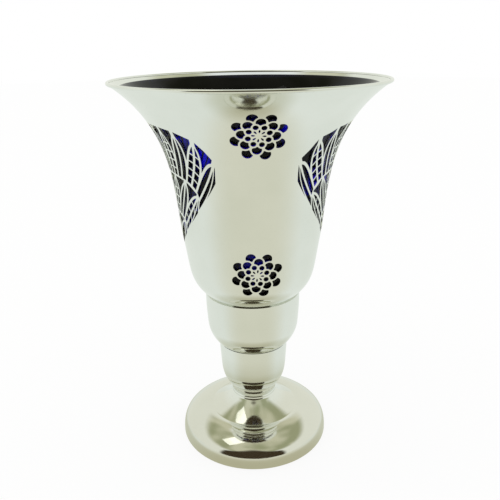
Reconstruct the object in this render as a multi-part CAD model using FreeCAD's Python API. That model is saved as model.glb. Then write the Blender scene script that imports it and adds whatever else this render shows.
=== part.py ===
"""Trumpet vase: a pierced, silver-plated spun trumpet over a blue glass liner, on a stacked stem and foot.

Millimetres, +Z up. The origin is the middle of the circle that the foot stands on, and the front is -Y.
"""
import FreeCAD
import Part

import math
import os

# Whole vase
total_height = 250.0
mouth_radius = 85.74
foot_radius = 52.1

# Heights at which the stacked pieces meet, and the bolt's hole through them
foot_band_height = 10.0
foot_top_height = 33.0
collar_top_height = 38.0
lower_tier_top_height = 72.0
upper_tier_top_height = 110.0
body_floor_height = 105.0
bolt_hole_radius = 2.8

# Sheet thicknesses
body_wall = 1.0
tier_wall = 1.4
foot_wall = 1.2
band_wall = 1.4

# Trumpet: the lip's slope, the side where the flare starts, and the heel that sits in the upper tier
rim_wire_radius = 1.06
wire_arcs = 12
lip_slope = 144.5
side_radius = 45.13
side_height = 149.2
side_slope = 99.55
heel_radius = 30.94
heel_slope = 136.5
body_flat_radius = 19.0
flare_reach_shares = (0.444, 0.277)
bowl_reach_shares = (0.584, 0.391)
heel_reach_shares = (0.30, 0.35)

# Glass liner and the cork ring under it
liner_gap = 0.6
liner_wall = 2.2
liner_rim_drop = 4.2
liner_flat_radius = 25.5
liner_corner_shares = (0.35, 0.35)
pad_radius = 17.5
pad_hole_radius = 9.0
pad_thickness = 4.0

# Upper tier of the stem
upper_tier_radius = 32.2
upper_shoulder_radius = 31.21
upper_shoulder_height = 86.83
upper_shoulder_slope = 94.75
upper_floor_height = 69.0
upper_flat_radius = 16.46
upper_side_shares = (0.404, 0.442)
upper_heel_shares = (0.368, 0.295)

# Lower tier of the stem
lower_tier_radius = 23.8
lower_shoulder_radius = 22.72
lower_shoulder_height = 53.43
lower_shoulder_slope = 94.2
lower_floor_height = 35.5
lower_flat_radius = 8.91
lower_side_shares = (0.20, 0.30)
lower_heel_shares = (0.662, 0.221)

# Collar: a ring with a slightly full face
collar_top_radius = 16.2
collar_foot_radius = 15.6
collar_bore_radius = 11.0
collar_bulge = 0.15

# Foot: flange, neck, hollow cone, fold and dome
neck_radius = 15.5
neck_corner = 1.6
cone_top = (16.9, 29.4, 44)
fold_upper = (30.1, 19.75, 31)
fold_lower = (30.9, 19.55, -3)
dome_edge_radius = 50.4
neck_corner_shares = (0.39, 0.39)
neck_fillet_shares = (0.40, 0.40)
foot_cone_shares = (0.33, 0.33)
fold_shares = (0.35, 0.35)
foot_dome_shares = (0.34, 0.205)

# Band round the foot and the ring inside its lower edge
band_foot_round = 1.0
band_slope = 70.0
band_side_shares = (0.40, 0.30)
band_corner_shares = (0.39, 0.39)
ring_inner_radius = 47.5
ring_height = 2.4

# Clamping bolt, its washers and nut
bolt_radius = 2.5
bolt_head_radius = 6.5
bolt_head_height = 2.6
bolt_head_edge_share = 0.45
bolt_spare_length = 1.5
bowl_washer_radius = 8.0
bowl_washer_thickness = 1.0
clamp_washer_radius = 9.0
clamp_washer_thickness = 1.5
nut_across_flats = 8.0
nut_height = 4.0

# Rosettes: four rings of eight petals, each ring turned half a step from the last
rosette_heights = (137.7, 224.9)
rosette_petals = 8
rosette_turn = 18.0
petal_ring_radii = (12.3, 8.9, 5.8, 3.2)
petal_radii = (3.1, 2.7, 1.55, 0.8)
petal_bar = 1.1

# Side panels: a fan of leaves in three tiers that rises from the panel's lowest point
panel_azimuths = (-90.0, 90.0)
fan_foot_height = 141.0
fan_radius = 86.0
fan_half_angle = 46.0
fan_foot_angle_share = 1.10
fan_shoulder_share = 0.31
fan_corner_share = 0.30
fan_corner_power = 7.5
leaf_bar = 1.1
leaf_counts = (5, 9, 13)
leaf_start_shares = (0.12, 0.36, 0.66)
leaf_end_shares = (0.33, 0.63, 0.965)
leaf_side_power = 2.4
leaf_tip_power = 0.8
leaf_samples = 5
gap_start_bars = 1.1

# Cutting depth each side of the drawn surface, points on each curve of the table of radii, and search steps
pierce_depth = 3.5
table_points = 200
halvings = 40


def direction(slope):
    """Unit step for a slope in degrees: 0 runs outwards, 90 runs down and 180 runs inwards."""
    return math.cos(math.radians(slope)), -math.sin(math.radians(slope))


def bend(start, end, shares):
    """Cubic curve between two (radius, height, slope) points. The shares of its chord set its two reaches."""
    chord = math.hypot(end[0] - start[0], end[1] - start[1])
    out_r, out_z = direction(start[2])
    in_r, in_z = direction(end[2])
    first = (start[0] + shares[0] * chord * out_r, start[1] + shares[0] * chord * out_z)
    second = (end[0] - shares[1] * chord * in_r, end[1] - shares[1] * chord * in_z)
    curve = Part.BezierCurve()
    curve.setPoles([vector(point) for point in (start, first, second, end)])
    return curve


def straight(start, end):
    return Part.LineSegment(vector(start), vector(end))


def vector(point):
    """A point of an outline, in the plane y = 0."""
    return FreeCAD.Vector(point[0], 0, point[1])


def inward(start, end):
    """Unit step square to a line of the outline, towards the inside of the piece."""
    step = (end - start).normalize()
    return FreeCAD.Vector(step.z, 0, -step.x)


def offset(curve, distance):
    """The same stretch, moved inwards by a distance: each leg between its poles moves square to itself."""
    if isinstance(curve, Part.LineSegment):
        poles = [curve.StartPoint, curve.EndPoint]
    else:
        poles = curve.getPoles()
    normals = [inward(*pair) for pair in zip(poles, poles[1:])]
    moved = [poles[0] + normals[0] * distance]
    for pole, before, after in zip(poles[1:], normals, normals[1:]):
        moved.append(pole + (before + after) * (distance / (1 + before.dot(after))))
    moved.append(poles[-1] + normals[-1] * distance)
    if isinstance(curve, Part.LineSegment):
        return Part.LineSegment(*moved)
    copy = Part.BezierCurve()
    copy.setPoles(moved)
    return copy


def ends(curves):
    return curves[0].value(curves[0].FirstParameter), curves[-1].value(curves[-1].LastParameter)


def section(curves):
    """Flat face inside a closed chain of curves in the plane y = 0."""
    edges = [curve.toShape() for curve in curves]
    return Part.Face(Part.Wire(Part.__sortEdges__(edges)))


def revolve(curves):
    """Solid of revolution of the area inside a closed chain of curves."""
    return section(curves).revolve(FreeCAD.Vector(), FreeCAD.Vector(0, 0, 1), 360)


def sheet_section(outline, wall):
    """Closed chain round a spun sheet: its outline, the same line one wall inwards, and both ends."""
    inner = [offset(curve, wall) for curve in outline]
    outer_ends = ends(outline)
    inner_ends = ends(inner)
    return outline + inner + [Part.LineSegment(outer_ends[k], inner_ends[k]) for k in range(2)]


def sheet(outline, wall):
    return revolve(sheet_section(outline, wall))


def filled(outline):
    """Everything inside a cup's outline, from its top edge to its floor, as one solid."""
    top, bottom = ends(outline)
    axis_top = FreeCAD.Vector(0, 0, top.z)
    axis_bottom = FreeCAD.Vector(0, 0, bottom.z)
    closing = [Part.LineSegment(top, axis_top), Part.LineSegment(axis_top, axis_bottom)]
    if bottom.x > 0:
        closing.append(Part.LineSegment(axis_bottom, bottom))
    return revolve(outline + closing)


def disc(radius, bottom, top, hole_radius=0):
    """Round plate or shaft on the vase's axis, with a hole if one is given."""
    solid = Part.makeCylinder(radius, top - bottom, FreeCAD.Vector(0, 0, bottom))
    if hole_radius > 0:
        solid = solid.cut(Part.makeCylinder(hole_radius, top - bottom, FreeCAD.Vector(0, 0, bottom)))
    return solid


# Outlines, each from its top edge to the bolt's hole

rim_centre = (mouth_radius - rim_wire_radius, total_height - rim_wire_radius)
lip_across, lip_down = direction(lip_slope + 90)
lip = (rim_centre[0] - lip_across * body_wall / 2, rim_centre[1] - lip_down * body_wall / 2, lip_slope)
side = (side_radius, side_height, side_slope)
heel = (heel_radius, upper_tier_top_height, heel_slope)
body_flat = (body_flat_radius, body_floor_height, 180)
flare_curve = bend(lip, side, flare_reach_shares)
bowl_curve = bend(side, heel, bowl_reach_shares)


def body_outline():
    floor = straight(body_flat, (bolt_hole_radius, body_floor_height))
    return [flare_curve, bowl_curve, bend(heel, body_flat, heel_reach_shares), floor]


def cup_outline(edge, shoulder, flat, side_shares, heel_shares):
    """Tier of the stem: a side that narrows slowly to its shoulder, and a rounded heel."""
    floor = straight(flat, (bolt_hole_radius, flat[1]))
    return [bend(edge, shoulder, side_shares), bend(shoulder, flat, heel_shares), floor]


def upper_tier_outline():
    edge = (upper_tier_radius, upper_tier_top_height, 90)
    shoulder = (upper_shoulder_radius, upper_shoulder_height, upper_shoulder_slope)
    flat = (upper_flat_radius, upper_floor_height, 180)
    return cup_outline(edge, shoulder, flat, upper_side_shares, upper_heel_shares)


def lower_tier_outline():
    edge = (lower_tier_radius, lower_tier_top_height, 90)
    shoulder = (lower_shoulder_radius, lower_shoulder_height, lower_shoulder_slope)
    flat = (lower_flat_radius, lower_floor_height, 180)
    return cup_outline(edge, shoulder, flat, lower_side_shares, lower_heel_shares)


# Piercing

def outline_table():
    """Points down the trumpet's side, for the radius and slope at a height."""
    points = []
    for curve in (flare_curve, bowl_curve):
        points += curve.discretize(Number=table_points)
    return sorted((point.z, point.x) for point in points)


outline_points = outline_table()


def radius_at(height):
    """Outer radius of the trumpet at a height."""
    for low, high in zip(outline_points, outline_points[1:]):
        if high[0] >= height > low[0]:
            share = (height - low[0]) / (high[0] - low[0])
            return low[1] + share * (high[1] - low[1])
    return outline_points[-1][1] if height > outline_points[-1][0] else outline_points[0][1]


def on_surface(azimuth, height):
    """Point of the trumpet's outer face. The azimuth is in degrees from the front, towards +X."""
    radius = radius_at(height)
    turn = math.radians(azimuth)
    return FreeCAD.Vector(radius * math.sin(turn), -radius * math.cos(turn), height)


def outward(azimuth, height):
    """Outward normal of the trumpet there."""
    rise = body_wall
    slope = (radius_at(height + rise) - radius_at(height - rise)) / (2 * rise)
    turn = math.radians(azimuth)
    normal = FreeCAD.Vector(math.sin(turn), -math.cos(turn), -slope)
    return normal.normalize()


def rosette_cells():
    """The openings of one rosette, as flat faces about the origin in the plane z = 0."""
    step = 360 / rosette_petals
    rings = []
    for number, (ring_radius, radius) in enumerate(zip(petal_ring_radii, petal_radii)):
        discs = []
        for petal in range(rosette_petals):
            turn = math.radians(rosette_turn + step * (petal + number / 2))
            centre = FreeCAD.Vector(ring_radius * math.cos(turn), ring_radius * math.sin(turn), 0)
            discs.append((centre, radius))
        rings.append(discs)
    cells = []
    for number, discs in enumerate(rings):
        inner = rings[number + 1] if number + 1 < len(rings) else []
        for centre, radius in discs:
            cell = round_face(centre, radius)
            for other_centre, other_radius in inner:
                bite = other_radius + petal_bar
                if other_centre.distanceToPoint(centre) < radius + bite:
                    cell = cell.cut(round_face(other_centre, bite))
            cells.append(cell)
    return cells


def round_face(centre, radius):
    return Part.Face(Part.Wire(Part.makeCircle(radius, centre)))


def rosette_cutters(azimuth, height):
    """Rosette's openings as prisms through the wall, square to it at the rosette's middle."""
    normal = outward(azimuth, height)
    sideways = FreeCAD.Vector(0, 0, 1).cross(normal)
    turn = FreeCAD.Rotation(sideways, normal.cross(sideways), normal, "ZXY")
    place = FreeCAD.Placement(on_surface(azimuth, height) - normal * pierce_depth, turn)
    cutters = []
    for cell in rosette_cells():
        cutter = cell.extrude(FreeCAD.Vector(0, 0, 2 * pierce_depth))
        cutter.Placement = place.multiply(cutter.Placement)
        cutters += cutter.Solids
    return cutters


def fan_point(rise, spread):
    """Place on the flat drawing of a panel, from shares: rise 0 to 1 up the fan, spread -1 to 1 across it."""
    rim = 1 + fan_shoulder_share * spread ** 2
    rim *= 1 - fan_corner_share * abs(spread) ** fan_corner_power
    reach = fan_radius * rim * rise
    opening = fan_foot_angle_share + (1 - fan_foot_angle_share) * rise
    turn = math.radians(fan_half_angle) * spread * opening
    return reach * math.sin(turn), reach * math.cos(turn)


def half_width(rise, start, end, half_step):
    """Half the width of a leaf at a rise, as a share of the fan's spread."""
    level = (rise - start) / (end - start)
    full = half_step - bar_spread(rise) / 2
    return full * max(1 - level ** leaf_side_power, 0) ** leaf_tip_power


def bar_spread(rise):
    """Width of a bar at a rise, as a share of the fan's spread."""
    return leaf_bar / (fan_radius * rise * math.radians(fan_half_angle))


def levels(start, end):
    return [start + (end - start) * step / leaf_samples for step in range(leaf_samples + 1)]


def leaf_cells(start, end, count, with_rib):
    """Openings of one tier of leaves: each a closed list of sides, each side a list of (rise, spread)."""
    half_step = 1 / count
    cells = []
    for leaf in range(count):
        middle = (2 * leaf + 1) * half_step - 1
        if not with_rib:
            left = [(rise, middle - half_width(rise, start, end, half_step)) for rise in levels(start, end)]
            right = [(rise, 2 * middle - spread) for rise, spread in left]
            cells.append([left, right[::-1], [right[0], left[0]]])
            continue
        top = tip_rise(start, end, half_step)
        for sign in (-1, 1):
            rib = [(rise, middle + sign * bar_spread(rise) / 2) for rise in levels(start, top)]
            edge = [
                (rise, middle + sign * half_width(rise, start, end, half_step)) for rise in levels(start, top)
            ]
            edge[-1] = rib[-1]
            cells.append([rib, edge[::-1], [edge[0], rib[0]]])
    return cells


def tip_rise(start, end, half_step):
    """Rise at which a leaf is no wider than its rib."""
    low, high = start, end
    for _ in range(halvings):
        rise = (low + high) / 2
        wide = half_width(rise, start, end, half_step) > bar_spread(rise) / 2
        low, high = (rise, high) if wide else (low, rise)
    return low


def gap_cells(start, end, top, count):
    """Openings between the tips of one tier of leaves, under a bar or the panel's edge at the top."""
    half_step = 1 / count
    cells = []
    low, high = start, end
    for _ in range(halvings):
        rise = (low + high) / 2
        free = half_step - half_width(rise, start, end, half_step) > gap_start_bars * bar_spread(rise)
        low, high = (low, rise) if free else (rise, high)
    for gap in range(count + 1):
        middle = 2 * gap * half_step - 1
        sides = []
        for sign in (-1, 1):
            if abs(middle + sign * half_step) > 1:
                sides.append([(rise, middle) for rise in levels(high, top)])
                continue
            side_points = []
            for rise in levels(high, top):
                inside = half_width(min(rise, end), start, end, half_step) + bar_spread(rise)
                side_points.append((rise, middle + sign * max(half_step - inside, 0)))
            side_points[0] = (high, middle)
            sides.append(side_points)
        left, right = sides
        across = [(top, left[-1][1] + (right[-1][1] - left[-1][1]) * step / 2) for step in range(3)]
        cells.append([left, across, right[::-1]])
    return cells


def panel_cells():
    cells = []
    for tier, count in enumerate(leaf_counts):
        start = leaf_start_shares[tier]
        end = leaf_end_shares[tier]
        cells += leaf_cells(start, end, count, tier > 0)
        if tier + 1 < len(leaf_counts):
            top = leaf_start_shares[tier + 1] - leaf_bar / fan_radius
        else:
            top = 1
        cells += gap_cells(start, end, top, count)
    return cells


def panel_cutters(azimuth):
    """A panel's openings as prisms through the wall, each square to the wall at its own middle."""
    cutters = []
    for cell in panel_cells():
        sides = [[panel_place(azimuth, point) for point in cell_side] for cell_side in cell]
        places = [place for cell_side in sides for place in cell_side]
        mid_azimuth = sum(place[0] for place in places) / len(places)
        mid_height = sum(place[1] for place in places) / len(places)
        centre = on_surface(mid_azimuth, mid_height)
        normal = outward(mid_azimuth, mid_height)
        edges = []
        for cell_side in sides:
            points = []
            for place in cell_side:
                point = on_surface(*place)
                points.append(point - normal * normal.dot(point - centre))
            edges.append(line_through(points))
        face = Part.Face(Part.Wire(edges))
        face.translate(normal * -pierce_depth)
        cutters.append(face.extrude(normal * 2 * pierce_depth))
    return cutters


def line_through(points):
    if len(points) == 2:
        return Part.LineSegment(*points).toShape()
    curve = Part.BSplineCurve()
    curve.interpolate(Points=points)
    return curve.toShape()


def panel_place(azimuth, point):
    """Azimuth and height on the vase of a point of the flat drawing wrapped round the trumpet."""
    across, up = fan_point(*point)
    height = fan_foot_height + up
    return azimuth + math.degrees(across / radius_at(height)), height


def pierced_body():
    body = sheet(body_outline(), body_wall)
    cutters = []
    for height in rosette_heights:
        for azimuth in (0, 180):
            cutters += rosette_cutters(azimuth, height)
    for azimuth in panel_azimuths:
        cutters += panel_cutters(azimuth)
    return body.cut(cutters)


# The other pieces, from the lip down

def rim_wire():
    """Wire round the lip, with a groove as wide as the sheet. Its section is drawn in short arcs."""
    down_r, down_z = direction(lip_slope)
    half = body_wall / 2
    opening = math.asin(half / rim_wire_radius)
    arc_turn = (2 * math.pi - 2 * opening) / wire_arcs

    def on_wire(turn):
        down = rim_wire_radius * math.cos(turn)
        across = rim_wire_radius * math.sin(turn)
        radius = rim_centre[0] + down * down_r - across * lip_across
        return radius, rim_centre[1] + down * down_z - across * lip_down

    curves = []
    for number in range(wire_arcs):
        turns = [opening + arc_turn * (number + share) for share in (0, 0.5, 1)]
        curves.append(Part.Arc(*[vector(on_wire(turn)) for turn in turns]))
    inner_lip = (rim_centre[0] + lip_across * half, rim_centre[1] + lip_down * half)
    corners = [on_wire(-opening), inner_lip, lip, on_wire(opening)]
    curves += [straight(a, b) for a, b in zip(corners, corners[1:])]
    return revolve(curves)


def glass_liner():
    """Blown lining that follows the trumpet, with a fire-rounded rim and a flat base on its cork ring."""
    base_guide = body_floor_height + pad_thickness - liner_gap
    corner = (liner_flat_radius, base_guide, 180)
    outside = body_wall + liner_gap
    inside = outside + liner_wall
    flare = flare_curve.copy()
    flare.segment(liner_rim_place((outside + inside) / 2), flare_curve.LastParameter)
    guide = [flare, bowl_curve, bend(heel, corner, liner_corner_shares), straight(corner, (0, base_guide))]
    outer = [offset(curve, outside) for curve in guide]
    inner = [offset(curve, inside) for curve in guide]
    first_pole, second_pole = flare.getPoles()[:2]
    upward = (first_pole - second_pole).normalize()
    middle = first_pole + inward(first_pole, second_pole) * ((outside + inside) / 2)
    crown = middle + upward * (liner_wall / 2)
    rim = Part.Arc(ends(outer)[0], crown, ends(inner)[0])
    return revolve(outer + inner + [rim, Part.LineSegment(ends(outer)[1], ends(inner)[1])])


def liner_rim_place(distance):
    """Place on the flare at which the middle of the glass is as far below the lip as its rim."""
    low, high = flare_curve.FirstParameter, flare_curve.LastParameter
    for _ in range(halvings):
        place = (low + high) / 2
        tangent = flare_curve.tangent(place)[0]
        height = flare_curve.value(place).z - tangent.x * distance
        too_high = height > total_height - liner_rim_drop - liner_wall / 2
        low, high = (place, high) if too_high else (low, place)
    return place


def liner_pad():
    bottom = body_floor_height + body_wall
    return disc(pad_radius, bottom, bottom + pad_thickness, pad_hole_radius)


def seated_cup(outline, piece_above):
    """A tier whose top edge is shaped to the rounded heel of the piece that sits in it."""
    return sheet(outline, tier_wall).cut(piece_above)


def stem_collar(cup_above):
    """Turned ring with a slightly full face between the lower tier and the foot."""
    upper = (collar_top_radius, collar_top_height)
    lower = (collar_foot_radius, foot_top_height)
    middle = ((upper[0] + lower[0]) / 2 + collar_bulge, (upper[1] + lower[1]) / 2)
    face = Part.Arc(vector(upper), vector(middle), vector(lower))
    bore = [(collar_bore_radius, height) for height in (foot_top_height, collar_top_height)]
    corners = [lower, *bore, upper]
    return revolve([face] + [straight(a, b) for a, b in zip(corners, corners[1:])]).cut(cup_above)


def foot():
    """Spun foot: a flange under the collar, a neck, a hollow cone, a fold and a dome that ends on the band."""
    flange_edge = (neck_radius - neck_corner, foot_top_height, 0)
    neck = (neck_radius, foot_top_height - neck_corner, 90)
    edge = (dome_edge_radius, foot_band_height, 90)
    outline = [
        straight((bolt_hole_radius, foot_top_height), flange_edge),
        bend(flange_edge, neck, neck_corner_shares),
        bend(neck, cone_top, neck_fillet_shares),
        bend(cone_top, fold_upper, foot_cone_shares),
        bend(fold_upper, fold_lower, fold_shares),
        bend(fold_lower, edge, foot_dome_shares),
    ]
    return sheet(outline, foot_wall)


def foot_band():
    """Upright band, a little wider at the floor, with its lower edge rounded over."""
    top = (dome_edge_radius, foot_band_height, band_slope)
    side_end = (foot_radius, band_foot_round, 90)
    under = (foot_radius - band_foot_round, 0, 180)
    inner = foot_radius - band_wall
    top_inner = (dome_edge_radius - band_wall, foot_band_height)
    curves = [bend(top, side_end, band_side_shares), bend(side_end, under, band_corner_shares)]
    corners = [under, (inner, 0), (inner, band_foot_round), top_inner, top]
    curves += [straight(a, b) for a, b in zip(corners, corners[1:])]
    return revolve(curves)


def foot_ring(band):
    """Flat ring soldered inside the band's lower edge, on which the vase stands."""
    return disc(foot_radius - band_wall, 0, ring_height, ring_inner_radius).cut(band)


def tie_bolt():
    """Long bolt with a low domed head in the bowl and its end below the nut in the foot."""
    head_bottom = body_floor_height + body_wall + bowl_washer_thickness
    head_top = head_bottom + bolt_head_height
    clamp_top = foot_top_height - foot_wall - clamp_washer_thickness
    end = clamp_top - nut_height - bolt_spare_length
    edge_height = head_bottom + bolt_head_height * bolt_head_edge_share
    crown = (0, head_top)
    shoulder = (bolt_head_radius, edge_height)
    height = head_top - edge_height
    sphere_radius = (bolt_head_radius ** 2 + height ** 2) / (2 * height)
    half_turn = math.asin(bolt_head_radius / sphere_radius) / 2
    drop = sphere_radius * (1 - math.cos(half_turn))
    halfway = (sphere_radius * math.sin(half_turn), head_top - drop)
    curves = [Part.Arc(vector(crown), vector(halfway), vector(shoulder))]
    corners = [
        shoulder,
        (bolt_head_radius, head_bottom),
        (bolt_radius, head_bottom),
        (bolt_radius, end),
        (0, end),
        crown,
    ]
    curves += [straight(a, b) for a, b in zip(corners, corners[1:])]
    return revolve(curves)


def bowl_washer():
    bottom = body_floor_height + body_wall
    return disc(bowl_washer_radius, bottom, bottom + bowl_washer_thickness, bolt_hole_radius)


def clamp_washer():
    top = foot_top_height - foot_wall
    return disc(clamp_washer_radius, top - clamp_washer_thickness, top, bolt_hole_radius)


def clamp_nut():
    top = foot_top_height - foot_wall - clamp_washer_thickness
    corner_radius = nut_across_flats / 2 / math.cos(math.radians(30))
    corners = []
    for corner in range(7):
        turn = math.radians(60 * corner)
        corners.append(FreeCAD.Vector(corner_radius * math.cos(turn), corner_radius * math.sin(turn), top))
    prism = Part.Face(Part.makePolygon(corners)).extrude(FreeCAD.Vector(0, 0, -nut_height))
    return prism.cut(disc(bolt_radius, top - nut_height, top))


def build():
    band = foot_band()
    pieces = {
        "pierced_body": pierced_body(),
        "rim_wire": rim_wire(),
        "glass_liner": glass_liner(),
        "liner_pad": liner_pad(),
        "upper_tier": seated_cup(upper_tier_outline(), filled(body_outline())),
        "lower_tier": seated_cup(lower_tier_outline(), filled(upper_tier_outline())),
        "stem_collar": stem_collar(filled(lower_tier_outline())),
        "foot": foot(),
        "foot_band": band,
        "foot_ring": foot_ring(band),
        "tie_bolt": tie_bolt(),
        "bowl_washer": bowl_washer(),
        "clamp_washer": clamp_washer(),
        "clamp_nut": clamp_nut(),
    }
    os.makedirs("parts", exist_ok=True)
    for name, shape in pieces.items():
        box = shape.BoundBox
        heights = round(box.ZMin, 2), round(box.ZMax, 2)
        print(name, len(shape.Solids), shape.isValid(), round(shape.Volume, 1), *heights)
        shape.exportStep(os.path.join("parts", name + ".step"))


build()
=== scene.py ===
"""Trumpet vase of pierced silver plate over a blue glass liner, built up from the foot to the mouth."""

import math

import bpy
import numpy as np
from mathutils import Euler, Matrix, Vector


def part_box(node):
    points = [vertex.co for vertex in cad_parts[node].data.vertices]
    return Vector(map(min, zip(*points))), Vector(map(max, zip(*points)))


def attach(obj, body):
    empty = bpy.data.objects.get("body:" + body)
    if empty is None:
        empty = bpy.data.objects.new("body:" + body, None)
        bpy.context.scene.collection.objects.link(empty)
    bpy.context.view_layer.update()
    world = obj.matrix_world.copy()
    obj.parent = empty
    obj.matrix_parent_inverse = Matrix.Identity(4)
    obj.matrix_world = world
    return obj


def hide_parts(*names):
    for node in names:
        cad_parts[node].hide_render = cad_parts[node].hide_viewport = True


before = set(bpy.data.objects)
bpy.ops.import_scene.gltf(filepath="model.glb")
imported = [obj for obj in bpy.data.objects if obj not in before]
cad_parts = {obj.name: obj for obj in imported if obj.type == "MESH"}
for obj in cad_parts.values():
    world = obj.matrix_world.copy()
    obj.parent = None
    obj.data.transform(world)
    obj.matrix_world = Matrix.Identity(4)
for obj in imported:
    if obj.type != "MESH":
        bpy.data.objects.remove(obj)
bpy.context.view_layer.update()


# The foot: one disc of brass spun into a neck, a hollow cone and a dome, then silver plated and buffed.
# Its flange is clamped under the stem, and its edge is soldered on the upright band.
# Outlines are (radius, height, slope) points: slope 0 runs outwards and 90 runs down.

foot_low, foot_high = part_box("foot")
foot_top = foot_high[2]
band_top = foot_low[2]
dome_radius = foot_high[0]
neck_radius = 0.0155
neck_corner = 0.0016
cone_top = (0.0169, 0.0294, 44)
fold_upper = (0.0301, 0.01975, 31)
fold_lower = (0.0309, 0.01955, -3)
edge_slope = 64
foot_wall = 0.0012
bolt_hole = 0.0028
turns_round = 256
bend_step = 4
touching = 1e-7
sharp_corner = math.radians(32)


def direction(slope):
    """Step of length 1 along a slope, as (outwards, upwards)."""
    return np.array((math.cos(math.radians(slope)), -math.sin(math.radians(slope))))


def bend(start, end, shares):
    """Poles of a curve between two outline points. Its two reaches are shares of its chord."""
    first = np.array(start[:2])
    last = np.array(end[:2])
    chord = np.linalg.norm(last - first)
    near_first = first + shares[0] * chord * direction(start[2])
    near_last = last - shares[1] * chord * direction(end[2])
    return np.array((first, near_first, near_last, last))


def line(start, end):
    """Poles of a straight stretch."""
    shares = np.linspace(0, 1, 4)[:, None]
    return np.array(start[:2]) * (1 - shares) + np.array(end[:2]) * shares


def inside(poles, wall):
    """The same stretch, one wall further in: each leg between its poles moves square to itself."""
    legs = np.diff(poles, axis=0)
    legs /= np.linalg.norm(legs, axis=1)[:, None]
    squares = np.stack((legs[:, 1], -legs[:, 0]), axis=1)
    middles = squares[:-1] + squares[1:]
    middles *= (wall / (1 + (squares[:-1] * squares[1:]).sum(axis=1)))[:, None]
    return np.vstack((poles[0] + squares[0] * wall, poles[1:-1] + middles, poles[-1] + squares[-1] * wall))


def on_curve(poles, places):
    """Points of a stretch at places from 0 to 1."""
    t = np.asarray(places)[:, None]
    a, b, c, d = poles
    return a * (1 - t) ** 3 + 3 * b * t * (1 - t) ** 2 + 3 * c * t ** 2 * (1 - t) + d * t ** 3


def along(stretches, step):
    """Points down a chain of stretches, a step apart or closer, and a few degrees apart where it turns."""
    points = [stretches[0][:1]]
    for poles in stretches:
        trial = on_curve(poles, np.linspace(0, 1, 41))
        moves = np.diff(trial, axis=0)
        angles = np.unwrap(np.arctan2(moves[:, 1], moves[:, 0]))
        turn = math.degrees(np.abs(np.diff(angles)).sum())
        length = np.linalg.norm(moves, axis=1).sum()
        straight = turn < 0.1 and len(stretches) > 1
        count = 2 if straight else max(4, math.ceil(turn / bend_step), math.ceil(length / step))
        points.append(on_curve(poles, np.linspace(0, 1, count + 1)[1:]))
    return np.vstack(points)


def spin(name, section, around=turns_round):
    """Turned piece from a closed section, given down its outside and back up its inside."""
    section = np.asarray(section)
    apart = np.linalg.norm(section - np.roll(section, 1, axis=0), axis=1) > touching
    section = section[apart]
    on_axis = section[:, 0] < touching
    rings = []
    vertices = []
    for (radius, height), pole in zip(section, on_axis):
        start = len(vertices)
        if pole:
            vertices.append((0, 0, height))
            rings.append([start] * around)
            continue
        for turn in range(around):
            angle = 2 * math.pi * turn / around
            vertices.append((radius * math.cos(angle), radius * math.sin(angle), height))
        rings.append(list(range(start, start + around)))
    faces = []
    for upper, lower in zip(rings, rings[1:] + rings[:1]):
        if upper[0] == upper[1] and lower[0] == lower[1]:
            continue
        for turn in range(around):
            after = (turn + 1) % around
            corners = [upper[turn], lower[turn], lower[after], upper[after]]
            faces.append(list(dict.fromkeys(corners)))
    mesh = bpy.data.meshes.new(name)
    mesh.from_pydata(vertices, [], faces)
    mesh.shade_smooth()
    mesh.set_sharp_from_angle(angle=sharp_corner)
    piece = bpy.data.objects.new(name, mesh)
    bpy.context.scene.collection.objects.link(piece)
    return piece


class Shading:
    """Shader nodes of one material or of the world, under construction."""

    def __init__(self, tree):
        self.nodes = tree.nodes
        self.links = tree.links

    def feed(self, node, values):
        """Sets or links a node's inputs, by name or number."""
        for name, value in values.items():
            if isinstance(value, bpy.types.NodeSocket):
                self.links.new(value, node.inputs[name])
            else:
                node.inputs[name].default_value = value

    def add(self, kind, values, out=0, **settings):
        """Adds a node with its inputs and settings, and returns one of its outputs."""
        node = self.nodes.new(kind)
        for name, value in settings.items():
            setattr(node, name, value)
        self.feed(node, values)
        return node.outputs[out]

    def maths(self, operation, first, second):
        return self.add("ShaderNodeMath", {0: first, 1: second}, operation=operation)

    def vectors(self, operation, first, second=(0, 0, 0), out="Vector"):
        return self.add("ShaderNodeVectorMath", {0: first, 1: second}, out, operation=operation)

    def height(self, place):
        return self.add("ShaderNodeSeparateXYZ", {"Vector": place}, "Z")

    def noise(self, place, scale, detail=2.0):
        """Cloud pattern, 0 to 1."""
        return self.add("ShaderNodeTexNoise", {"Vector": place, "Scale": scale, "Detail": detail}, "Fac")

    def stretched(self, place, scale):
        return self.add("ShaderNodeMapping", {"Vector": place, "Scale": scale})

    def ramp(self, value, low, high):
        """Colour for a value, between two others that are each a (value, colour)."""
        node = self.nodes.new("ShaderNodeValToRGB")
        for element, (position, colour) in zip(node.color_ramp.elements, (low, high)):
            element.position = position
            element.color = (*colour, 1)
        self.feed(node, {"Fac": value})
        return node.outputs["Color"]

    def ranged(self, value, start, end, low=0.0, high=1.0, kind="LINEAR"):
        """Goes from low to high while a value goes from start to end."""
        ends = {"From Min": start, "From Max": end, "To Min": low, "To Max": high}
        return self.add("ShaderNodeMapRange", {"Value": value, **ends}, "Result", interpolation_type=kind)

    def eased(self, value, start, end, low=0.0, high=1.0):
        """The same with soft ends."""
        return self.ranged(value, start, end, low, high, "SMOOTHSTEP")

    def blended(self, share, first, second):
        """Colour between two others, each a colour or a socket."""
        ends = [(*end, 1) if isinstance(end, tuple) else end for end in (first, second)]
        values = {"Factor": share, 6: ends[0], 7: ends[1]}
        return self.add("ShaderNodeMix", values, 2, data_type="RGBA")

    def relief(self, height, strength, distance):
        """Surface direction for fine marks."""
        return self.add("ShaderNodeBump", {"Height": height, "Strength": strength, "Distance": distance})


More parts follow.
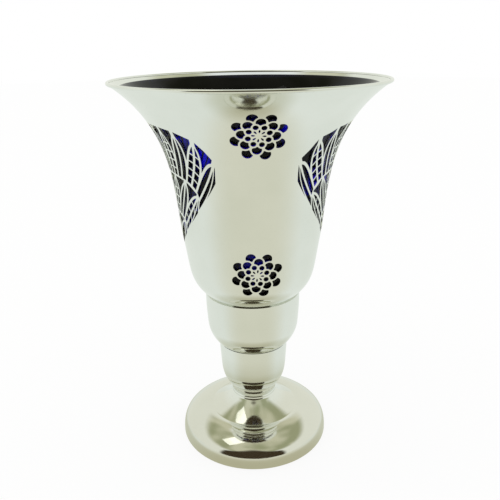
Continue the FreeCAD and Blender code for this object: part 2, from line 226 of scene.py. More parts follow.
def finish(name):
    """A new material with its shading, its surface shader and its Object coordinates."""
    material = bpy.data.materials.new(name)
    material.use_nodes = True
    shading = Shading(material.node_tree)
    place = shading.add("ShaderNodeTexCoord", {}, "Object")
    return material, shading, shading.nodes["Principled BSDF"], place


def plated(name, wear_height):
    """Polished silver plate: faint haze, buffing marks round the axis and a warmer tone near one height."""
    material, shading, shader, place = finish(name)
    haze = shading.noise(place, 28.0, 4.0)
    silver = shading.ramp(haze, (0.30, (0.80, 0.82, 0.775)), (0.70, (0.855, 0.87, 0.835)))
    wear = shading.eased(shading.height(place), wear_height, wear_height + 0.006, 0.35, 0.0)
    smudge = shading.noise(place, 90.0, 6.0)
    buffing = shading.noise(shading.stretched(place, (1, 1, 14)), 60.0)
    shading.feed(shader, {
        "Metallic": 1.0,
        "Base Color": shading.blended(wear, silver, (0.72, 0.68, 0.55)),
        "Roughness": shading.ranged(smudge, 0.35, 0.75, 0.055, 0.12),
        "Normal": shading.relief(buffing, 0.02, 0.0004),
    })
    return material


def fit(piece, material, slot_name, body, *nodes):
    """Gives a piece its material, its body and the nodes that it stands for."""
    piece.data.materials.clear()
    piece.data.materials.append(material)
    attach(piece, body)
    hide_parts(*nodes)


flange_edge = (neck_radius - neck_corner, foot_top, 0)
neck = (neck_radius, foot_top - neck_corner, 90)
foot_outline = [
    line((bolt_hole, foot_top), flange_edge),
    bend(flange_edge, neck, (0.39, 0.39)),
    bend(neck, cone_top, (0.40, 0.40)),
    bend(cone_top, fold_upper, (0.33, 0.33)),
    bend(fold_upper, fold_lower, (0.35, 0.35)),
    bend(fold_lower, (dome_radius, band_top, edge_slope), (0.34, 0.16)),
]
foot_skin = [inside(poles, foot_wall) for poles in foot_outline]
foot_section = np.vstack((along(foot_outline, step=0.0012), along(foot_skin, step=0.002)[::-1]))
foot_section[:, 1] = np.maximum(foot_section[:, 1], band_top)
foot = spin("foot_spun", foot_section)
foot_silver = plated("foot silver plate", foot_top - 0.010)
fit(foot, foot_silver, "silver_plate", "vase", "foot")


# The band round the foot: a strip of plated brass, turned a little wider at the floor and rounded over.
# Inside its lower edge lies the flat ring that the vase stands on, which stays as the frame has it.

band_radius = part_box("foot_band")[1][0]
band_wall = 0.0014
band_round = 0.001
band_outline = [
    bend((dome_radius, band_top, edge_slope), (band_radius, band_round, 90), (0.20, 0.62)),
    bend((band_radius, band_round, 90), (band_radius - band_round, 0, 180), (0.39, 0.39)),
]
band_back = [
    (band_radius - band_wall, 0),
    (band_radius - band_wall, band_round),
    (dome_radius - band_wall, band_top),
]
band = spin("foot_band_turned", np.vstack((along(band_outline, step=0.0012), band_back)))
fit(band, foot_silver, "silver_plate", "vase", "foot_band")

ring_silver = plated("foot ring silver plate", 0.0)
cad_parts["foot_ring"].material_slots[0].material = ring_silver


# The fittings that clamp the stack: a brass bolt with washer and nut, and a leather washer under its head.
# They sit in the bowl and in the foot, and keep the shapes of the frame.

def turned_brass():
    """Brass as it comes off the lathe: fine rings and a slightly uneven, dulled colour."""
    material, shading, shader, place = finish("turned brass")
    cloud = shading.noise(place, 240.0, 5.0)
    turning = {"Vector": place, "Scale": 900.0, "Distortion": 0.4}
    rings = shading.add("ShaderNodeTexWave", turning, "Fac", wave_type="RINGS", rings_direction="Z")
    shading.feed(shader, {
        "Metallic": 1.0,
        "Base Color": shading.ramp(cloud, (0, (0.42, 0.27, 0.10)), (1, (0.80, 0.60, 0.28))),
        "Roughness": shading.ranged(cloud, 0.0, 1.0, 0.22, 0.42),
        "Normal": shading.relief(rings, 0.15, 0.0001),
    })
    return material


def grained(name, dark, pale, grain, roughness, depth):
    """Soft natural stuff with a grain: cork or leather."""
    material, shading, shader, place = finish(name)
    cells = shading.add("ShaderNodeTexVoronoi", {"Vector": place, "Scale": grain}, "Distance")
    mottle = shading.maths("MULTIPLY", cells, shading.noise(place, grain / 3, 6.0))
    shading.feed(shader, {
        "Base Color": shading.ramp(mottle, (0, dark), (0.45, pale)),
        "Roughness": roughness,
        "Normal": shading.relief(mottle, 0.5, depth),
    })
    return material


brass = turned_brass()
for node in ("tie_bolt", "clamp_washer", "clamp_nut"):
    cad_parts[node].material_slots[0].material = brass
leather = grained("brown leather", (0.10, 0.045, 0.02), (0.30, 0.16, 0.08), 900.0, 0.6, 0.0002)
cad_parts["bowl_washer"].material_slots[0].material = leather


# The two cups of the stem: each is spun from one disc, its top edge fitted to the heel of the piece above.
# The bolt pulls them together, so they touch in a thin dark line.

cup_wall = 0.0014
hair = 1e-6
upper_low, upper_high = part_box("upper_tier")
lower_low, lower_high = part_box("lower_tier")
heel = (0.03094, upper_high[2], 136.5)
body_flat = (0.019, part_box("pierced_body")[0][2], 180)
heel_curve = bend(heel, body_flat, (0.30, 0.35))


def cup_stretches(edge, shoulder, flat, side_shares, heel_shares):
    """Outline of a cup: its side, its heel and its floor."""
    floor = line(flat, (bolt_hole, flat[1]))
    return [bend(edge, shoulder, side_shares), bend(shoulder, flat, heel_shares), floor]


upper_stretches = cup_stretches(
    edge=(upper_high[0], upper_high[2], 90),
    shoulder=(0.03121, 0.08683, 94.75),
    flat=(0.01646, upper_low[2], 180),
    side_shares=(0.404, 0.442),
    heel_shares=(0.368, 0.295),
)
lower_stretches = cup_stretches(
    edge=(lower_high[0], lower_high[2], 90),
    shoulder=(0.02272, 0.05343, 94.2),
    flat=(0.00891, lower_low[2], 180),
    side_shares=(0.20, 0.30),
    heel_shares=(0.662, 0.221),
)


def cup_section(stretches, piece_above):
    """Section of a cup whose top edge follows the outside of the piece that sits in it."""
    outer = along(stretches, step=0.0014)
    inner = along([inside(poles, cup_wall) for poles in stretches], step=0.002)
    above = along(piece_above, step=0.0005)
    gap_at = np.interp(inner[:, 1], above[::-1, 1], above[::-1, 0])
    inner = inner[(inner[:, 0] > gap_at + hair) | (inner[:, 1] < above[:, 1].min())]
    wall_radius = inner[0, 0]
    seat = above[(above[:, 1] < outer[0, 1] + hair) & (above[:, 0] > wall_radius)]
    return np.vstack((outer, inner[::-1], seat[::-1]))


stem_silver = plated("stem silver plate", 0.0)
upper_cup = spin("upper_cup_spun", cup_section(upper_stretches, [heel_curve]))
fit(upper_cup, stem_silver, "silver_plate", "vase", "upper_tier")
lower_cup = spin("lower_cup_spun", cup_section(lower_stretches, upper_stretches[1:2]))
fit(lower_cup, stem_silver, "silver_plate", "vase", "lower_tier")


# The collar between foot and stem: a short turned ring with a slightly full face, silver plated.
# The lower cup's heel is seated in its upper edge.

collar_low, collar_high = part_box("stem_collar")
collar_edges = [(0.0162, collar_high[2]), (0.0156, collar_low[2])]
collar_bulge = 0.00015
collar_bore = 0.011


def bead(upper, lower, bulge, count=14):
    """Half-round moulding between two points of the outline."""
    upper = np.array(upper)
    lower = np.array(lower)
    middle = (upper + lower) / 2
    half = np.linalg.norm(lower - upper) / 2
    radius = (half ** 2 + bulge ** 2) / (2 * bulge)
    reach = math.asin(half / radius)
    along_way = (lower - upper) / (2 * half)
    out = np.array((-along_way[1], along_way[0]))
    centre = middle - out * (radius - bulge)
    angles = np.linspace(-reach, reach, count)[:, None]
    return centre + radius * (np.sin(angles) * along_way + np.cos(angles) * out)


collar_outer = bead(*collar_edges, collar_bulge)
lower_heel = along(lower_stretches[1:2], step=0.0004)
collar_seat = lower_heel[(lower_heel[:, 1] < collar_high[2]) & (lower_heel[:, 0] > collar_bore)]
collar_section = np.vstack((collar_outer, [(collar_bore, collar_low[2])], collar_seat[::-1]))
collar = spin("stem_collar_turned", collar_section)
fit(collar, stem_silver, "silver_plate", "vase", "stem_collar")


# The trumpet: one sheet of brass spun to a bell, pierced with a saw and plated.
# Four rosettes and two side panels are cut in it; the sheet is 1 mm, and so are the bars left by the saw.

body_wall = 0.001
wire_radius = 0.00106
wire_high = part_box("rim_wire")[1]
lip_slope = 144.5
wire_centre = np.array((wire_high[0] - wire_radius, wire_high[2] - wire_radius))
lip = (*(wire_centre - direction(lip_slope + 90) * body_wall / 2), lip_slope)
side = (0.04513, 0.1492, 99.55)
flare_curve = bend(lip, side, (0.444, 0.277))
bowl_curve = bend(side, heel, (0.584, 0.391))
body_floor = line(body_flat, (bolt_hole, body_flat[1]))
body_stretches = [flare_curve, bowl_curve, heel_curve, body_floor]
body_inner = [inside(poles, body_wall) for poles in body_stretches]
body_section = np.vstack((along(body_stretches, step=0.0016), along(body_inner, step=0.0026)[::-1]))
trumpet = spin("plain_trumpet", body_section)

petal_rings = (0.0127, 0.0092, 0.0060)
petal_sizes = (0.0032, 0.0028, 0.0016)
petal_count = 8
petal_step = 360 / petal_count
petal_bar = 0.00095
petal_start_share = 0.35
slit_middle = 0.0030
slit_half = (0.00115, 0.00052)
rosette_turn = 18.0
rosette_heights = (0.1373, 0.2245)


def petal(ring, corners=30):
    """Outline of one petal opening: a disc with the next ring's discs and a bar bitten out of it."""
    turn = math.radians(rosette_turn + petal_step * ring / 2)
    out = np.array((math.cos(turn), math.sin(turn)))
    centre = petal_rings[ring] * out
    size = petal_sizes[ring]
    start = centre + out * size * petal_start_share
    bites = []
    if ring + 1 < len(petal_rings):
        for side_step in (-0.5, 0.5):
            near = math.radians(rosette_turn + petal_step * (ring / 2 + side_step))
            middle = petal_rings[ring + 1] * np.array((math.cos(near), math.sin(near)))
            bites.append((middle, petal_sizes[ring + 1] + petal_bar))
    points = []
    for corner in range(corners):
        angle = 2 * math.pi * corner / corners
        ray = np.array((math.cos(angle), math.sin(angle)))
        along_ray = ray @ (start - centre)
        reach = -along_ray + math.sqrt(along_ray ** 2 - (start - centre) @ (start - centre) + size ** 2)
        for middle, radius in bites:
            nearer = ray @ (start - middle)
            square = nearer ** 2 - (start - middle) @ (start - middle) + radius ** 2
            if square > 0 and -nearer - math.sqrt(square) > 0:
                reach = min(reach, -nearer - math.sqrt(square))
        points.append(start + ray * reach)
    return points


def slit(corners=16):
    """Outline of one of the narrow openings round a rosette's hub."""
    turn = math.radians(rosette_turn + petal_step / 2)
    out = np.array((math.cos(turn), math.sin(turn)))
    across = np.array((-out[1], out[0]))
    points = []
    for corner in range(corners):
        angle = 2 * math.pi * corner / corners
        point = out * (slit_middle + slit_half[0] * math.cos(angle))
        points.append(point + across * slit_half[1] * math.sin(angle) * (1 + 0.3 * math.cos(angle)))
    return points


def drawing(name, cells):
    """Flat drawing of openings: one face for each, seen from above."""
    vertices = []
    faces = []
    for cell in cells:
        cell = np.asarray(cell)
        following = np.roll(cell, -1, axis=0)
        area = (cell[:, 0] * following[:, 1] - cell[:, 1] * following[:, 0]).sum()
        cell = cell if area > 0 else cell[::-1]
        faces.append(range(len(vertices), len(vertices) + len(cell)))
        vertices += [(x, y, 0) for x, y in cell]
    mesh = bpy.data.meshes.new(name)
    mesh.from_pydata(vertices, [], faces)
    sheet = bpy.data.objects.new(name, mesh)
    bpy.context.scene.collection.objects.link(sheet)
    return sheet


petal_drawing = drawing("petal_openings", [petal(0), petal(1), petal(2), slit()])

fan_foot_height = 0.141
fan_radius = 0.086
fan_half_angle = math.radians(46)
fan_shoulder = 0.31
fan_corner = 0.30
fan_corner_power = 7.5
fan_foot_width = 0.10
leaf_bar = 0.0011
vein_bar = 0.0008
leaf_counts = (5, 9, 13)
leaf_starts = (0.12, 0.36, 0.66)
leaf_ends = (0.33, 0.63, 0.965)
leaf_fullness = 2.4
leaf_point = 0.8
leaf_tip_spread = 0.002
vein_counts = (0, 4, 5)
least_gap = 1.1
least_step = 0.00008


def fan_point(rise, spread):
    """Place on the flat drawing of a panel: rise 0 to 1 up the fan, spread -1 to 1 across it."""
    rim = (1 + fan_shoulder * spread ** 2) * (1 - fan_corner * abs(spread) ** fan_corner_power)
    reach = fan_radius * rim * rise
    turn = fan_half_angle * spread * (1 + fan_foot_width - fan_foot_width * rise)
    return reach * math.sin(turn), reach * math.cos(turn)


def bar_spread(rise, bar=leaf_bar):
    """Width of a bar at a rise, as a share of the fan's spread."""
    return bar / (fan_radius * rise * fan_half_angle)


def half_leaf(rise, start, end, half_step):
    """Half the width of a leaf's opening at a rise, as a share of the fan's spread."""
    level = (rise - start) / (end - start)
    return (half_step - bar_spread(rise) / 2) * max(1 - level ** leaf_fullness, 0) ** leaf_point


def first_rise(low, high, reached):
    """Lowest rise from which a condition holds."""
    for _ in range(30):
        rise = (low + high) / 2
        low, high = (low, rise) if reached(rise) else (rise, high)
    return high


def between(low, high, inner_edge, outer_edge, steps=14):
    """Opening between two edges, each a spread for a rise, from one rise to another."""
    rises = [low + (high - low) * step / steps for step in range(steps + 1)]
    one_side = [(rise, inner_edge(rise)) for rise in rises]
    other_side = [(rise, outer_edge(rise)) for rise in rises]
    ring = one_side + other_side[::-1]
    points = [np.array(fan_point(*place)) for place in ring]
    kept = [points[0]]
    for point in points[1:]:
        if np.linalg.norm(point - kept[-1]) > least_step:
            kept.append(point)
    if np.linalg.norm(kept[0] - kept[-1]) < least_step:
        kept.pop()
    return kept


def tier_cells(tier):
    """Openings of a tier: leaves with a rib, every second one a ladder of veins, and gaps between tips."""
    count = leaf_counts[tier]
    start = leaf_starts[tier]
    end = leaf_ends[tier]
    half_step = 1 / count
    cells = []
    for leaf in range(count):
        middle = (2 * leaf + 1) * half_step - 1
        if tier == 0:
            def left_edge(rise):
                return middle - half_leaf(rise, start, end, half_step)

            def right_edge(rise):
                return middle + half_leaf(rise, start, end, half_step)

            cells.append(between(start, end, left_edge, right_edge))
            continue

        def at_tip(rise):
            return half_leaf(rise, start, end, half_step) < bar_spread(rise) / 2 + leaf_tip_spread

        top = first_rise(start, end, at_tip)
        for sign in (-1, 1):
            def rib(rise):
                return middle + sign * bar_spread(rise) / 2

            def edge(rise):
                return middle + sign * half_leaf(rise, start, end, half_step)

            if leaf % 2 == tier % 2:
                cells.append(between(start, top, rib, edge))
                continue
            veins = vein_counts[tier]
            step = (top - start) / veins
            for vein in range(veins):
                low = start + step * vein
                high = low + step - (vein_bar / fan_radius if vein + 1 < veins else 0)
                cells.append(between(low, high, rib, edge, steps=6))
    last_tier = tier + 1 == len(leaf_counts)
    gap_top = 1 if last_tier else leaf_starts[tier + 1] - leaf_bar / fan_radius

    def gap_open(rise):
        return half_step - half_leaf(rise, start, end, half_step) > least_gap * bar_spread(rise)

    gap_start = first_rise(start, end, gap_open)

    def gap_half(rise):
        return max(half_step - half_leaf(min(rise, end), start, end, half_step) - bar_spread(rise), 0)

    for gap in range(count + 1):
        middle = 2 * gap * half_step - 1

        def gap_left(rise):
            return middle - (gap_half(rise) if gap > 0 else 0)

        def gap_right(rise):
            return middle + (gap_half(rise) if gap < count else 0)

        cells.append(between(gap_start, gap_top, gap_left, gap_right))
    return cells


panel_cells = [cell for tier in range(len(leaf_counts)) for cell in tier_cells(tier)]
panel_drawing = drawing("panel_openings", panel_cells)


class Tree:
    """A Geometry Nodes tree under construction."""

    def __init__(self, name):
        self.tree = bpy.data.node_groups.new(name, "GeometryNodeTree")
        self.tree.interface.new_socket("Geometry", in_out="INPUT", socket_type="NodeSocketGeometry")
        self.tree.interface.new_socket("Geometry", in_out="OUTPUT", socket_type="NodeSocketGeometry")
        self.start = self.tree.nodes.new("NodeGroupInput")
        self.end = self.tree.nodes.new("NodeGroupOutput")
        self.sockets = {}

    def ask(self, name, kind):
        """Adds a named input and returns the socket that carries it."""
        socket = self.tree.interface.new_socket(name, in_out="INPUT", socket_type=kind)
        self.sockets[name] = socket.identifier
        return self.start.outputs[name]

    def add(self, kind, *values, out=0, **settings):
        """Adds a node, sets or links its inputs in order, and returns one of its outputs."""
        node = self.tree.nodes.new(kind)
        for name, value in settings.items():
            setattr(node, name, value)
        inputs = [socket for socket in node.inputs if socket.enabled]
        for socket, value in zip(inputs, values):
            if value is None:
                continue
            for item in value if isinstance(value, list) else [value]:
                if isinstance(item, bpy.types.NodeSocket):
                    self.tree.links.new(item, socket)
                else:
                    socket.default_value = item
        return [socket for socket in node.outputs if socket.enabled][out]

    def maths(self, operation, *values):
        return self.add("ShaderNodeMath", *values, operation=operation)

    def vectors(self, operation, *values):
        return self.add("ShaderNodeVectorMath", *values, operation=operation)

    def scaled(self, vector, factor):
        node = self.tree.nodes.new("ShaderNodeVectorMath")
        node.operation = "SCALE"
        self.tree.links.new(vector, node.inputs[0])
        if isinstance(factor, bpy.types.NodeSocket):
            self.tree.links.new(factor, node.inputs["Scale"])
        else:
            node.inputs["Scale"].default_value = factor
        return node.outputs[0]

    def cast(self, target, azimuth, height, far):
        """Where the line from outside to the axis meets the target, and the surface's direction there."""
        sine = self.maths("SINE", azimuth)
        cosine = self.maths("MULTIPLY", self.maths("COSINE", azimuth), -1.0)
        outward = self.add("ShaderNodeCombineXYZ", sine, cosine, 0.0)
        level = self.add("ShaderNodeCombineXYZ", 0.0, 0.0, height)
        source = self.vectors("ADD", self.scaled(outward, far), level)
        node = self.tree.nodes.new("GeometryNodeRaycast")
        self.tree.links.new(target, node.inputs["Target Geometry"])
        self.tree.links.new(source, node.inputs["Source Position"])
        self.tree.links.new(self.scaled(outward, -1.0), node.inputs["Ray Direction"])
        node.inputs["Ray Length"].default_value = 1.0
        return node.outputs["Hit Position"], node.outputs["Hit Normal"], outward


def pierced_sheet_tree():
    """Cuts the rosettes and the wrapped side panels through a plain trumpet."""
    t = Tree("pierced sheet")
    plain = t.start.outputs[0]
    petals = t.ask("Petal openings", "NodeSocketObject")
    panel = t.ask("Panel openings", "NodeSocketObject")
    count = t.ask("Petals in a ring", "NodeSocketInt")
    low_height = t.ask("Lower rosette height", "NodeSocketFloat")
    high_height = t.ask("Upper rosette height", "NodeSocketFloat")
    foot_height = t.ask("Panel foot height", "NodeSocketFloat")
    depth = t.ask("Cut depth", "NodeSocketFloat")
    plate = t.ask("Finish", "NodeSocketMaterial")
    far = 0.2

    def as_prisms(flat):
        """Closed prisms, one cut depth to each side of a flat drawing."""
        lowered = t.add("GeometryNodeSetPosition", flat, None, None, t.add(
            "ShaderNodeCombineXYZ", 0.0, 0.0, t.maths("MULTIPLY", depth, -1.0)))
        extrude = t.tree.nodes.new("GeometryNodeExtrudeMesh")
        t.tree.links.new(lowered, extrude.inputs["Mesh"])
        t.tree.links.new(t.maths("MULTIPLY", depth, 2.0), extrude.inputs["Offset Scale"])
        extrude.inputs["Individual"].default_value = False
        base = t.add("GeometryNodeFlipFaces", lowered)
        both = t.add("GeometryNodeJoinGeometry", [extrude.outputs["Mesh"], base])
        return t.add("GeometryNodeMergeByDistance", both, None, hair)

    wedge = as_prisms(t.add("GeometryNodeObjectInfo", petals, False, out=4))
    index = t.add("GeometryNodeInputIndex")
    step = t.maths("DIVIDE", 2 * math.pi, count)
    turn = t.add("ShaderNodeCombineXYZ", 0.0, 0.0, t.maths("MULTIPLY", index, step))
    spots = t.add("GeometryNodePoints", count)
    rosette = t.add("GeometryNodeInstanceOnPoints", spots, None, wedge, None, None, t.add(
        "FunctionNodeEulerToRotation", turn))
    rosette = t.add("GeometryNodeRealizeInstances", rosette)

    upper = t.maths("MODULO", index, 2.0)
    back = t.maths("FLOOR", t.maths("DIVIDE", index, 2.0))
    azimuth = t.maths("MULTIPLY", back, math.pi)
    rise = t.maths("SUBTRACT", high_height, low_height)
    height = t.maths("MULTIPLY_ADD", upper, rise, low_height)
    place, normal, outward = t.cast(plain, azimuth, height, far)
    sideways = t.vectors("CROSS_PRODUCT", (0, 0, 1), outward)
    stance = t.add("FunctionNodeAxesToRotation", normal, sideways, primary_axis="Z", secondary_axis="X")
    corners = t.add("GeometryNodeSetPosition", t.add("GeometryNodePoints", 4), None, place)
    four = t.add("GeometryNodeInstanceOnPoints", corners, None, rosette, None, None, stance)
    rosettes = t.add("GeometryNodeRealizeInstances", four)

    fan = as_prisms(t.add("GeometryNodeObjectInfo", panel, False, out=4))
    sides = t.add("GeometryNodeInstanceOnPoints", t.add("GeometryNodePoints", 2), None, fan)
    side_sign = t.maths("MULTIPLY_ADD", index, 2.0, -1.0)
    marked = t.add(
        "GeometryNodeStoreNamedAttribute", sides, None, "side", side_sign,
        data_type="FLOAT", domain="INSTANCE")
    flat = t.add("GeometryNodeRealizeInstances", marked)
    which = t.add("GeometryNodeInputNamedAttribute", "side", data_type="FLOAT")
    here = t.tree.nodes.new("ShaderNodeSeparateXYZ")
    t.tree.links.new(t.add("GeometryNodeInputPosition"), here.inputs[0])
    level = t.maths("ADD", here.outputs["Y"], foot_height)
    front, _, _ = t.cast(plain, 0.0, level, far)
    flat_front = t.vectors("MULTIPLY", front, (1, 1, 0))
    radius_node = t.tree.nodes.new("ShaderNodeVectorMath")
    radius_node.operation = "LENGTH"
    t.tree.links.new(flat_front, radius_node.inputs[0])
    swing = t.maths("DIVIDE", here.outputs["X"], radius_node.outputs["Value"])
    around = t.maths("MULTIPLY_ADD", which, math.pi / 2, swing)
    face, square, _ = t.cast(plain, around, level, far)
    wrapped = t.vectors("ADD", face, t.scaled(square, here.outputs["Z"]))
    panels = t.add("GeometryNodeSetPosition", flat, None, wrapped)

    cutters = t.add("GeometryNodeJoinGeometry", [rosettes, panels])
    cut = t.tree.nodes.new("GeometryNodeMeshBoolean")
    cut.operation = "DIFFERENCE"
    cut.solver = "MANIFOLD"
    t.tree.links.new(plain, cut.inputs["Mesh 1"])
    t.tree.links.new(cutters, cut.inputs["Mesh 2"])
    whole = t.add("GeometryNodeRealizeInstances", cut.outputs["Mesh"])
    finished = t.add("GeometryNodeSetMaterial", whole, None, plate)
    t.tree.links.new(finished, t.end.inputs[0])
    return t


body_silver = plated("trumpet silver plate", 0.0)
sheet_tree = pierced_sheet_tree()
piercing = trumpet.modifiers.new("piercing", "NODES")
piercing.node_group = sheet_tree.tree
settings = {
    "Petal openings": petal_drawing,
    "Panel openings": panel_drawing,
    "Petals in a ring": petal_count,
    "Lower rosette height": rosette_heights[0],
    "Upper rosette height": rosette_heights[1],
    "Panel foot height": fan_foot_height,
    "Cut depth": 0.0055,
    "Finish": body_silver,
}
for label, value in settings.items():
    piercing[sheet_tree.sockets[label]] = value
bpy.context.view_layer.update()
evaluated = trumpet.evaluated_get(bpy.context.evaluated_depsgraph_get())
pierced_mesh = bpy.data.meshes.new_from_object(evaluated)
trumpet.modifiers.remove(piercing)


skin_tolerance = 0.00006
skin_bottom = body_flat[1] + 0.0012
skin_match = 0.95


def skin_normals(mesh, stretches, points_inwards):
    """Each corner's point, whether a point lies on one face of the sheet, and the exact direction there."""
    dense = along(stretches, step=0.0002)
    steps = np.gradient(dense, axis=0)
    steps /= np.linalg.norm(steps, axis=1)[:, None]
    out = np.stack((-steps[:, 1], steps[:, 0]), axis=1) * (-1 if points_inwards else 1)
    order = np.argsort(dense[:, 1])
    heights = dense[order, 1]
    corner_count = len(mesh.loops)
    corners = np.empty(corner_count, dtype=np.int32)
    mesh.loops.foreach_get("vertex_index", corners)
    points = np.empty(len(mesh.vertices) * 3)
    mesh.vertices.foreach_get("co", points)
    points = points.reshape(-1, 3)
    radii = np.hypot(points[:, 0], points[:, 1])
    off = np.abs(np.interp(points[:, 2], heights, dense[order, 0]) - radii)
    on_skin = (off < skin_tolerance) & (points[:, 2] > skin_bottom)
    out_r = np.interp(points[:, 2], heights, out[order, 0])
    out_z = np.interp(points[:, 2], heights, out[order, 1])
    normals = np.stack((out_r * points[:, 0] / radii, out_r * points[:, 1] / radii, out_z), axis=1)
    return corners, on_skin, normals


def smooth_skin(mesh):
    """Gives the sheet's two faces their exact directions and leaves the sawn walls flat."""
    totals = np.empty(len(mesh.polygons), dtype=np.int32)
    mesh.polygons.foreach_get("loop_total", totals)
    flat = np.empty(len(mesh.polygons) * 3)
    mesh.polygons.foreach_get("normal", flat)
    flat = flat.reshape(-1, 3)
    owner = np.repeat(np.arange(len(totals)), totals)
    result = flat[owner].copy()
    for stretches, points_inwards in ((body_stretches[:3], False), (body_inner[:3], True)):
        corners, on_skin, normals = skin_normals(mesh, stretches, points_inwards)
        fits = on_skin[corners] & ((normals[corners] * flat[owner]).sum(axis=1) > skin_match)
        misfits = np.bincount(owner, weights=~fits, minlength=len(totals))
        whole = misfits[owner] == 0
        result[whole] = normals[corners][whole]
    mesh.shade_smooth()
    mesh.normals_split_custom_set(result.tolist())


smooth_skin(pierced_mesh)
pierced = bpy.data.objects.new("trumpet_pierced", pierced_mesh)
bpy.context.scene.collection.objects.link(pierced)
for spare in (trumpet, petal_drawing, panel_drawing):
    bpy.data.objects.remove(spare)
fit(pierced, body_silver, "silver_plate", "vase", "pierced_body")


# The rim: a round brass wire bent to a ring, silver plated with the trumpet.
# It is soldered along the lip, and a groove along it takes the edge of the sheet.

wire_corners = 33
wire_turns_round = 384


def grooved_wire():
    """Round section with a slot for the sheet."""
    down = direction(lip_slope)
    across = direction(lip_slope + 90)
    half = body_wall / 2
    opening = math.asin(half / wire_radius)
    angles = np.linspace(opening, 2 * math.pi - opening, wire_corners)[:, None]
    ring = wire_centre + wire_radius * (np.cos(angles) * down - np.sin(angles) * across)
    groove = [wire_centre + across * half, wire_centre - across * half]
    return np.vstack((ring, groove))[::-1]


wire = spin("rim_wire_round", grooved_wire(), wire_turns_round)
fit(wire, body_silver, "silver_plate", "vase", "rim_wire")


# The liner: a free-blown lining of dark cobalt glass, lifted out for washing.
# It follows the trumpet with a little play, its rim is fire-rounded, and it stands on a ring of cork.
# Its rim is drawn a little higher than the frame has it.

liner_low, liner_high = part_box("glass_liner")
liner_gap = 0.0006
liner_wall = 0.0022
liner_edge_corners = 13
liner_rise = 0.0015
liner_top = liner_high[2] + liner_rise
base_guide = liner_low[2] - body_wall - liner_gap
glass_corner = (0.0255, base_guide, 180)


def cut_curve(poles, place):
    """The rest of a stretch from a place on it."""
    a, b, c, d = poles
    ab, bc, cd = a + (b - a) * place, b + (c - b) * place, c + (d - c) * place
    abc, bcd = ab + (bc - ab) * place, bc + (cd - bc) * place
    return np.array((abc + (bcd - abc) * place, bcd, cd, d))


def liner_stretches(place):
    return [
        cut_curve(flare_curve, place),
        bowl_curve,
        bend(heel, glass_corner, (0.35, 0.35)),
        line(glass_corner, (0, base_guide)),
    ]


def liner_section(place):
    """Section of the liner with its upper edge at a place on the flare."""
    guide = liner_stretches(place)
    outside = body_wall + liner_gap
    outer = along([inside(poles, outside) for poles in guide], step=0.0016)
    inner = along([inside(poles, outside + liner_wall) for poles in guide], step=0.0016)
    upward = guide[0][0] - guide[0][1]
    upward /= np.linalg.norm(upward)
    centre = (outer[0] + inner[0]) / 2
    angles = np.linspace(0, math.pi, liner_edge_corners)[1:-1, None]
    edge = centre + np.cos(angles) * (inner[0] - centre) + np.sin(angles) * upward * liner_wall / 2
    return np.vstack((edge, outer, inner[::-1]))


low_place, high_place = 0.0, 1.0
for _ in range(40):
    liner_place = (low_place + high_place) / 2
    too_high = liner_section(liner_place)[:, 1].max() > liner_top
    low_place, high_place = (liner_place, high_place) if too_high else (low_place, liner_place)


def cobalt_glass():
    """Dark cobalt glass with painted light and shade: streaks of deep blue where light would come through,
    and nearly black towards the rim.
    """
    material, shading, shader, place = finish("cobalt glass")
    cloud = shading.noise(shading.stretched(place, (1, 1, 0.45)), 50.0, 0.5)
    # Painted light and shade: noise turns the glass from near black to bright blue in patches, standing for
    # light coming through.
    painted_light_blue = shading.ramp(cloud, (0.42, (0.002, 0.001, 0.034)), (0.57, (0.027, 0.007, 0.70)))
    # Painted shade: the glass turns nearly black towards the rim, standing for the shade inside the mouth.
    painted_mouth_shade = shading.eased(shading.height(place), 0.222, 0.238)
    waves = shading.noise(place, 18.0)
    shading.feed(shader, {
        "IOR": 1.23,
        "Transmission Weight": 1.0,
        "Base Color": shading.blended(painted_mouth_shade, painted_light_blue, (0.001, 0.0008, 0.010)),
        "Roughness": shading.ranged(waves, 0.0, 1.0, 0.02, 0.06),
        "Normal": shading.relief(waves, 0.10, 0.001),
    })
    return material


liner = spin("glass_liner_blown", liner_section(liner_place))
fit(liner, cobalt_glass(), "blue_glass", "liner", "glass_liner")
cork = grained("plain cork", (0.22, 0.13, 0.07), (0.62, 0.44, 0.27), 700.0, 0.85, 0.0003)
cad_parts["liner_pad"].material_slots[0].material = cork


# The table and the light tent. Metal and glass see pale cloth, with painted shade making the table warmer
# and dimmer in front, and the dark opening that the camera looks in through; the camera itself sees the
# white background.

def seen_share(shading, kinds):
    """1 for rays of the named kinds."""
    path = shading.nodes.new("ShaderNodeLightPath")
    total = path.outputs[kinds[0]]
    for kind in kinds[1:]:
        total = shading.maths("MAXIMUM", total, path.outputs[kind])
    return total


def towards(shading, vector, way):
    """How far a vector points a certain way: 1 straight along it, -1 straight back."""
    heading = shading.vectors("NORMALIZE", vector)
    return shading.vectors("DOT_PRODUCT", heading, way, "Value")


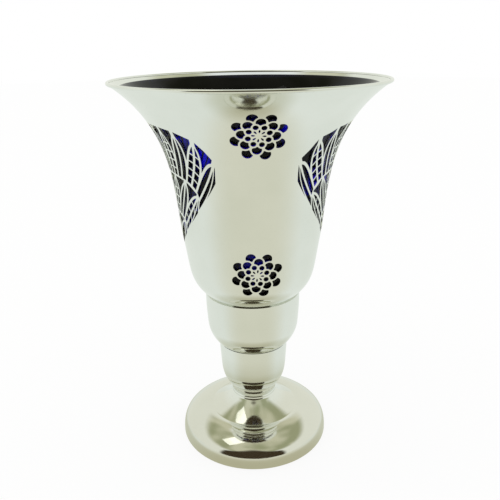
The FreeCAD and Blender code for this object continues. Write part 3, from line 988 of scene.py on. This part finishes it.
def table_finish():
    """White table with the vase's shadow for the camera; for the reflections, pale olive cloth with painted
    shade in front and a painted shadow round the foot.
    """
    material, shading, shader, place = finish("pale floor")
    shading.nodes.remove(shader)
    matt = shading.add("ShaderNodeBsdfDiffuse", {"Color": (0.95, 0.95, 0.94, 1)})
    lift = shading.add("ShaderNodeEmission", {"Strength": 1.0})
    lifted = shading.maths("MULTIPLY", seen_share(shading, ["Is Camera Ray"]), 0.86)
    white = shading.add("ShaderNodeMixShader", {"Fac": lifted, 1: matt, 2: lift})

    # Painted shade: in reflections the table is warmer and darker towards the front, standing for the
    # photographer's shadow and reflection.
    painted_shade_in_front = shading.eased(towards(shading, place, (0, -1, 0)), 0.1, 0.95)
    # Painted shadow: in reflections the table is darker within about 55 to 115 mm of the axis, standing for
    # the foot's shadow.
    beyond_painted_shadow = shading.eased(shading.vectors("LENGTH", place, out="Value"), 0.055, 0.115)
    far = shading.blended(painted_shade_in_front, (0.81, 0.85, 0.80), (0.72, 0.72, 0.60))
    near = shading.blended(painted_shade_in_front, (0.64, 0.66, 0.55), (0.53, 0.52, 0.38))
    cloth = shading.add("ShaderNodeEmission", {"Color": shading.blended(beyond_painted_shadow, near, far)})
    mirrored = seen_share(shading, ["Is Glossy Ray", "Is Transmission Ray"])
    mix = shading.add("ShaderNodeMixShader", {"Fac": mirrored, 1: white, 2: cloth})
    shading.feed(shading.nodes["Material Output"], {"Surface": mix})
    return material


bpy.ops.mesh.primitive_circle_add(vertices=96, radius=4.0, fill_type="NGON")
table_top = bpy.context.object
table_top.name = "table_top"
table_top.data.materials.append(table_finish())


def tent():
    """World: white for the camera and the table; metal and glass see a pale tent, dark where it opens."""
    world = bpy.data.worlds.new("tent")
    bpy.context.scene.world = world
    world.use_nodes = True
    shading = Shading(world.node_tree)
    shading.nodes.clear()
    place = shading.add("ShaderNodeTexCoord", {}, "Generated")
    height = shading.height(place)

    folds = shading.eased(shading.noise(place, 2.3, 1.0), 0.42, 0.62)
    ceiling = shading.blended(folds, (0.36, 0.38, 0.24), (0.62, 0.62, 0.47))
    roof = shading.eased(height, 0.63, 0.76)
    cloth = shading.blended(roof, (0.84, 0.86, 0.79), ceiling)
    upward = shading.vectors("DOT_PRODUCT", place, (0.0, 0.28, 0.96), "Value")
    skylight = shading.eased(upward, 0.955, 0.985)
    cloth = shading.blended(skylight, cloth, (0.86, 0.89, 0.90))

    forward = towards(shading, shading.vectors("MULTIPLY", place, (1, 1, 0)), (-0.12, -0.993, 0.0))
    narrowing = shading.ranged(height, 0.60, 0.90, 0.0, 0.36)
    opening = shading.eased(shading.maths("SUBTRACT", forward, narrowing), 0.62, 0.72)
    cloth = shading.blended(opening, cloth, (0.050, 0.037, 0.020))

    seen_inside = shading.add("ShaderNodeBackground", {"Color": cloth})
    seen_outside = shading.add("ShaderNodeBackground", {"Color": (1, 1, 1, 1)})
    mirrored = seen_share(shading, ["Is Glossy Ray", "Is Transmission Ray"])
    mix = shading.add("ShaderNodeMixShader", {"Fac": mirrored, 1: seen_outside, 2: seen_inside})
    shading.feed(shading.nodes.new("ShaderNodeOutputWorld"), {"Surface": mix})


tent()

camera_turn = math.radians(-4.0)
camera_distance = 0.3675
camera_height = 0.2731
camera_pitch = 0.3515
camera_roll = -0.0140
camera_data = bpy.data.cameras.new("camera")
camera_data.sensor_width = 36.0
camera_data.lens = 41.79
camera_data.shift_x = -0.0041
camera_data.clip_start = 0.01
camera = bpy.data.objects.new("camera", camera_data)
camera.location = (
    camera_distance * math.sin(camera_turn),
    -camera_distance * math.cos(camera_turn),
    camera_height,
)
aim = Euler((math.pi / 2 - camera_pitch, 0, camera_turn), "XYZ").to_matrix()
camera.rotation_euler = (aim @ Euler((0, 0, camera_roll), "XYZ").to_matrix()).to_euler()
bpy.context.scene.collection.objects.link(camera)
bpy.context.scene.camera = camera

window_data = bpy.data.lights.new("window", "AREA")
window_data.shape = "RECTANGLE"
window_data.size = 0.24
window_data.size_y = 0.34
window_data.energy = 0.22
window = bpy.data.objects.new("window", window_data)
window.location = (-0.36, -0.10, 0.95)
window.rotation_euler = (Vector((0, 0, 0.12)) - window.location).to_track_quat("-Z", "Y").to_euler()
bpy.context.scene.collection.objects.link(window)

bpy.context.scene.view_settings.view_transform = "Standard"
